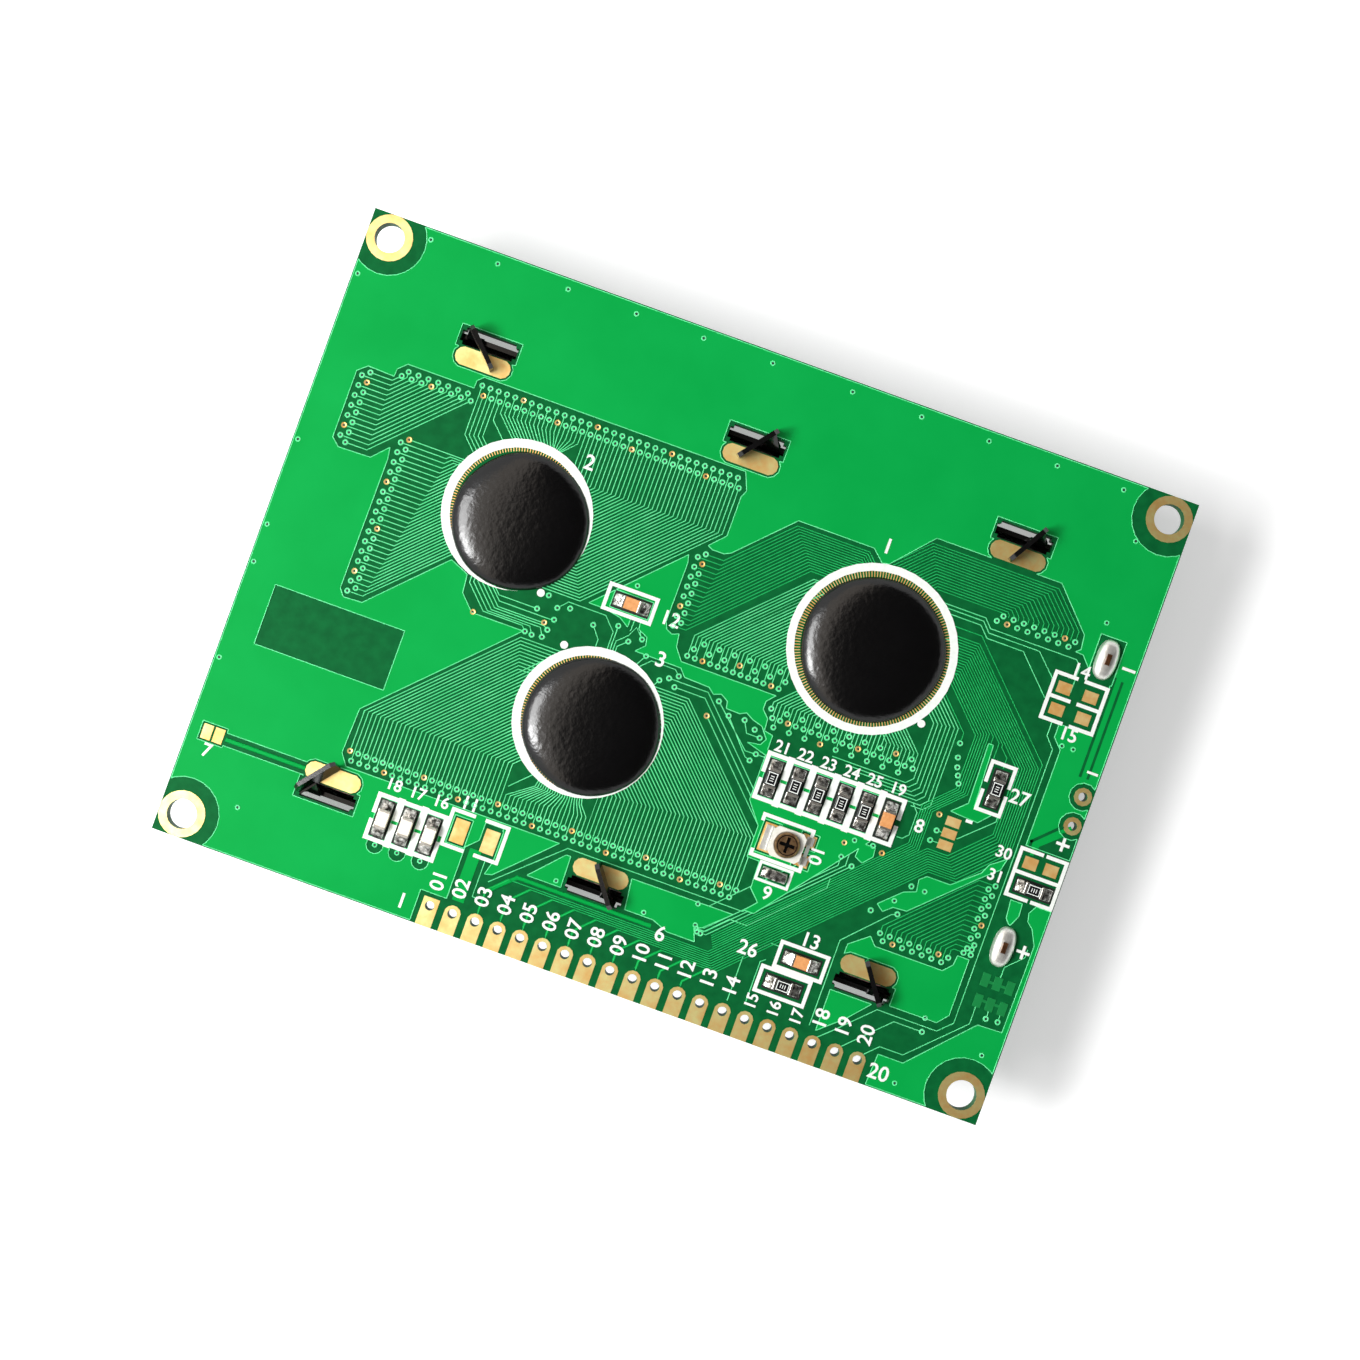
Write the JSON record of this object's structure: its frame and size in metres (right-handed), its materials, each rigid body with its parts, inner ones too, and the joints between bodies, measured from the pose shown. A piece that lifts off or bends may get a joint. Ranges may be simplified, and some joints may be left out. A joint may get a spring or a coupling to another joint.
{
  "type": "graphic lcd module",
  "caption": "Flat graphic display module seen from its driver board: green board with epoxy-covered driver chips, held in a black bezel by twisted hook tabs.",
  "frame": {"origin": "middle of the circuit board, on the plane of the bezel's face that the module lies on", "axes": "+X along the board towards the backlight leads, +Y across it away from the header pads, +Z out of the component side"},
  "size_m": [0.093, 0.07, 0.0133],
  "materials": {
    "laminate": "dark green solder mask over glass-fibre laminate",
    "masked_foil": "bright green solder mask over copper foil",
    "gilt": "thin gold over copper, satin",
    "white_print": "white screen print",
    "epoxy": "glossy black epoxy",
    "black_steel": "black lacquered sheet steel, semi-gloss",
    "polarizer": "grey-green film",
    "glass": "clear display glass",
    "contact_rubber": "striped conductive silicone rubber",
    "housing": "white moulding",
    "light_sheet": "white film",
    "acrylic": "clear acrylic",
    "led_resin": "yellowish lamp resin",
    "tinned_lead": "tinned metal",
    "solder": "smooth solder",
    "resistor": "black glazed film on ceramic, tinned ends",
    "tan_capacitor": "tan ceramic, tinned ends",
    "cream_capacitor": "cream ceramic, tinned ends",
    "trimmer_body": "off-white moulded base",
    "rotor_metal": "tarnished brass"
  },
  "bodies": {
    "module": {"circuit_board": "laminate", "ground_foil": "masked_foil", "mounting_pads": "gilt", "tab_pads": "gilt", "header_pads": "gilt", "spare_pads": "gilt", "empty_pads": "gilt", "trimmer_pads": "gilt", "chip_pads": "gilt", "print_rings": "white_print", "epoxy_drop_u1": "epoxy", "epoxy_drop_u2": "epoxy", "epoxy_drop_u3": "epoxy", "bezel": "black_steel", "front_polarizer": "polarizer", "front_glass": "glass", "rear_glass": "glass", "rear_polarizer": "polarizer", "contact_strip_top": "contact_rubber", "contact_strip_bottom": "contact_rubber", "contact_strip_side": "contact_rubber", "backlight_housing": "housing", "diffuser": "light_sheet", "light_guide": "acrylic", "reflector": "light_sheet", "led_board": "laminate", "backlight_leds": "led_resin", "backlight_lead_k": "tinned_lead", "backlight_lead_a": "tinned_lead", "solder_k": "solder", "solder_a": "solder", "solder_fillets": "solder", "solder_link": "solder", "resistor_r1": "resistor", "resistor_r2": "resistor", "resistor_r3": "resistor", "resistor_r4": "resistor", "resistor_r5": "resistor", "resistor_r6": "resistor", "resistor_r7": "resistor", "resistor_r10": "resistor", "capacitor_c2": "tan_capacitor", "capacitor_c3": "tan_capacitor", "capacitor_c9": "tan_capacitor", "capacitor_c6": "cream_capacitor", "capacitor_c7": "cream_capacitor", "capacitor_c8": "cream_capacitor", "trimmer_base": "trimmer_body", "trimmer_terminals": "tinned_lead"},
    "rotor": {"trimmer_rotor": "rotor_metal"}
  },
  "joints": [
    {"name": "trimmer_turn", "type": "hinge", "parent": "module", "child": "rotor", "pos_m": [0.0175, -0.01375, 0.012], "axis": [0, 0, 1], "range_deg": [-120, 120]}
  ]
}
